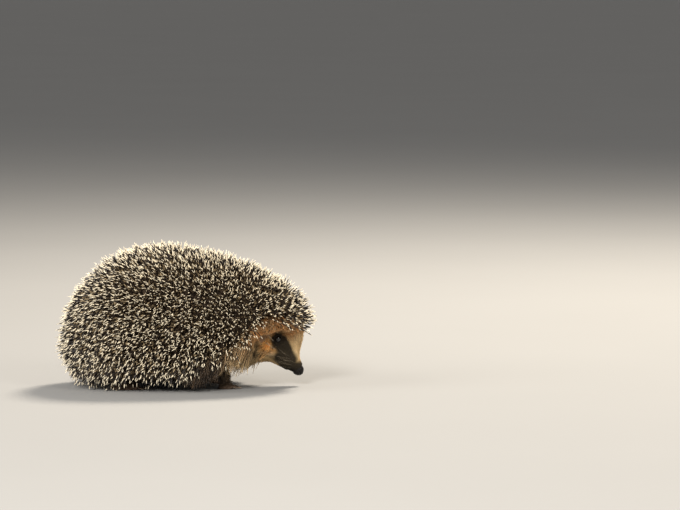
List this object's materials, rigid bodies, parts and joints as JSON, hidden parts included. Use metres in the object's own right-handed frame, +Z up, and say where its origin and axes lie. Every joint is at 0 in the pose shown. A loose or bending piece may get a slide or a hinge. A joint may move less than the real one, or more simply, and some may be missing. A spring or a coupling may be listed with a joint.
{
  "type": "hedgehog",
  "caption": "Still life-size hedgehog standing on its feet, back arched, spiny brow over a low snout, with long hair at the cheeks and belly.",
  "frame": {"origin": "on the floor, at the middle of the length and width of the body", "axes": "+X towards the snout, +Y to the animal's left, +Z up"},
  "size_m": [0.225, 0.1338, 0.1249],
  "materials": {
    "spines": "satin keratin spines, cream with a dark band",
    "hair": "coarse tan-brown hair",
    "skin": "soft skin under short fur",
    "ear_skin": "thin skin with fine hair",
    "foot_skin": "bare dark pads",
    "claw": "horny claws",
    "nose_skin": "moist black",
    "eye": "glossy black"
  },
  "bodies": {
    "root": {"trunk_rump": "spines", "trunk_back": "spines", "trunk_shoulders": "spines", "neck": "hair", "head_crown": "spines", "belly": "hair", "tail": "hair", "muzzle": "hair", "face": "hair", "lower_jaw": "hair", "nose": "nose_skin", "eye_left": "eye", "ear_left": "ear_skin", "foreleg_left": "hair", "hindleg_left": "hair", "forefoot_left": "foot_skin", "hindfoot_left": "foot_skin", "eye_right": "eye", "ear_right": "ear_skin", "foreleg_right": "hair", "hindleg_right": "hair", "forefoot_right": "foot_skin", "hindfoot_right": "foot_skin"}
  },
  "joints": []
}
